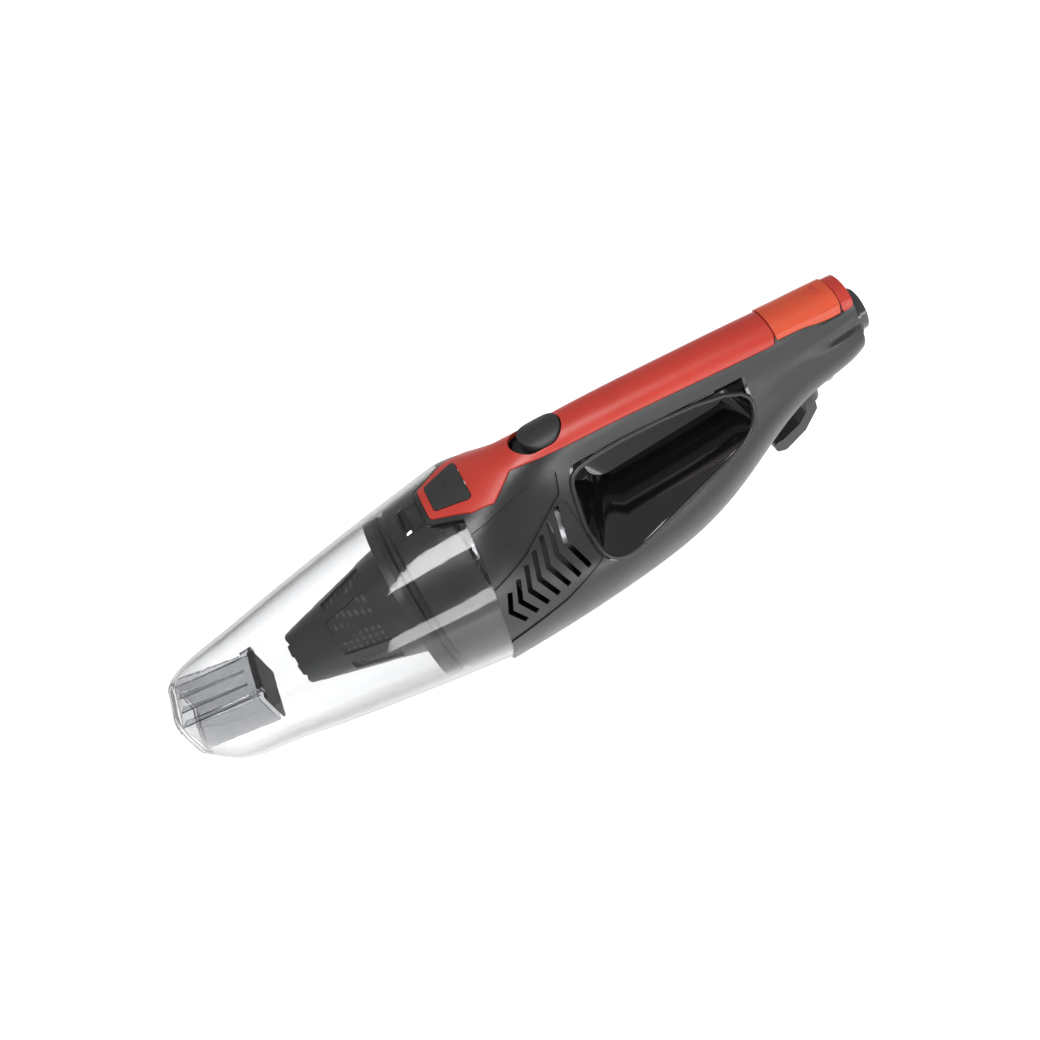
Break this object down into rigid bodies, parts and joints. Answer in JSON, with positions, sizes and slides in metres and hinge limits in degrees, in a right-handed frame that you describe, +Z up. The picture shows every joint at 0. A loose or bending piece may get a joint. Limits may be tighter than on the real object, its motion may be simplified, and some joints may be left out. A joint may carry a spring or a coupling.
{
  "type": "handheld vacuum",
  "caption": "Handheld vacuum with a clear tapered dust cup, cone filter, motor body, finger-hole grip, top buttons, tube socket at the tail and a cord hook.",
  "frame": {"origin": "centre of the tube socket's mouth at the tail", "axes": "+X along the socket out of the tail, +Z up through the handle, Y across the plane of symmetry"},
  "size_m": [0.46, 0.1218, 0.1301],
  "materials": {
    "body_dark": "satin moulded",
    "lining_gloss": "high gloss",
    "red_panel": "satin moulded",
    "button_dark": "fine texture",
    "seat_dark": "matte",
    "inner_dark": "matte",
    "orange_button": "satin moulded",
    "clear_cup": "clear moulded plastic, polished",
    "clear_duct": "clear moulded plastic",
    "flap_rubber": "matte",
    "pin_steel": "ground",
    "filter_dark": "satin moulded",
    "seal_rubber": "matte",
    "mesh_grey": "fine woven mesh",
    "pleat_paper": "pleated filter medium",
    "barrel_dark": "satin moulded",
    "shroud_steel": "pressed",
    "fan_aluminium": "satin",
    "can_steel": "zinc plated",
    "core_steel": "laminated",
    "copper": "enamelled wire",
    "carbon": "matte",
    "foam": "open cell",
    "socket_gloss": "gloss",
    "hook_dark": "satin moulded",
    "gland_grey": "matte",
    "screw_steel": "blackened"
  },
  "bodies": {
    "housing": {"body_shell_left": "body_dark", "body_shell_right": "body_dark", "grip_lining_left": "lining_gloss", "grip_lining_right": "lining_gloss", "top_panel": "red_panel", "rear_cap": "red_panel", "switch_seat": "seat_dark", "micro_switch": "inner_dark", "motor_barrel": "barrel_dark", "cup_seal": "seal_rubber", "fan_shroud": "shroud_steel", "motor_front_seal": "seal_rubber", "motor_can": "can_steel", "front_bearing": "pin_steel", "rear_bearing": "pin_steel", "field_core": "core_steel", "field_winding": "copper", "carbon_brushes": "carbon", "rear_motor_mount": "seal_rubber", "exhaust_foam": "foam", "latch_pin": "pin_steel", "latch_spring": "pin_steel", "tube_socket": "socket_gloss", "socket_collar": "socket_gloss", "catch_pin": "pin_steel", "catch_spring": "pin_steel", "hook_base": "body_dark", "cord_gland": "gland_grey", "body_screws": "screw_steel"},
    "cup": {"dust_cup": "clear_cup", "inlet_duct": "clear_duct", "flap_pin": "pin_steel", "flap_hinge_lugs": "clear_duct"},
    "flap": {"inlet_flap": "flap_rubber"},
    "filter": {"filter_frame": "filter_dark", "filter_seal": "seal_rubber", "filter_mesh": "mesh_grey", "filter_pleats": "pleat_paper"},
    "release_button": {"release_button": "button_dark"},
    "latch": {"latch_lever": "inner_dark"},
    "slider": {"switch_slider": "button_dark", "switch_link": "inner_dark"},
    "tube_button": {"tube_release_button": "orange_button"},
    "catch": {"tube_catch": "inner_dark"},
    "hook": {"cord_hook": "hook_dark"},
    "rotor": {"motor_shaft": "pin_steel", "fan_nut": "pin_steel", "fan_impeller": "fan_aluminium", "rotor_core": "core_steel", "commutator": "copper"}
  },
  "joints": [
    {"name": "cup_pull", "type": "slide", "parent": "housing", "child": "cup", "axis": [-1, 0, 0], "range_m": [0, 0.15]},
    {"name": "filter_pull", "type": "slide", "parent": "housing", "child": "filter", "axis": [-1, 0, 0], "range_m": [0, 0.0675]},
    {"name": "flap_swing", "type": "hinge", "parent": "cup", "child": "flap", "pos_m": [-0.409, 0, -0.0116], "axis": [0, -1, 0], "range_deg": [0, 46], "stiffness_Nm_per_rad": 0.004, "springref_deg": -17.19},
    {"name": "release_press", "type": "slide", "parent": "housing", "child": "release_button", "axis": [0, 0, -1], "range_m": [0, 0.002], "stiffness_N_per_m": 900, "springref_m": -0.001},
    {"name": "latch_pivot", "type": "hinge", "parent": "housing", "child": "latch", "pos_m": [-0.2505, 0, 0.0262], "axis": [0, -1, 0], "range_deg": [0, 7.64], "deforming": ["latch_spring"]},
    {"name": "power_slide", "type": "slide", "parent": "housing", "child": "slider", "axis": [-1, 0, 0], "range_m": [0, 0.0055]},
    {"name": "tube_button_press", "type": "slide", "parent": "housing", "child": "tube_button", "axis": [0, 0, -1], "range_m": [0, 0.0025], "stiffness_N_per_m": 1200, "springref_m": -0.001},
    {"name": "catch_pivot", "type": "hinge", "parent": "housing", "child": "catch", "pos_m": [-0.04, 0, 0.017], "axis": [0, -1, 0], "range_deg": [0, 14.33], "deforming": ["catch_spring"]},
    {"name": "hook_swivel", "type": "hinge", "parent": "housing", "child": "hook", "pos_m": [-0.043, 0, -0.044], "axis": [0, 0, 1], "range_deg": [0, 180]},
    {"name": "rotor_spin", "type": "hinge", "parent": "housing", "child": "rotor", "pos_m": [-0.25, 0, -0.024], "axis": [1, 0, 0], "continuous": true}
  ],
  "couplings": [
    {"joint": "filter_pull", "follows": "cup_pull", "ratio": 0.45},
    {"joint": "latch_pivot", "follows": "release_press", "rad_per_m": 66.667},
    {"joint": "catch_pivot", "follows": "tube_button_press", "rad_per_m": 100}
  ]
}
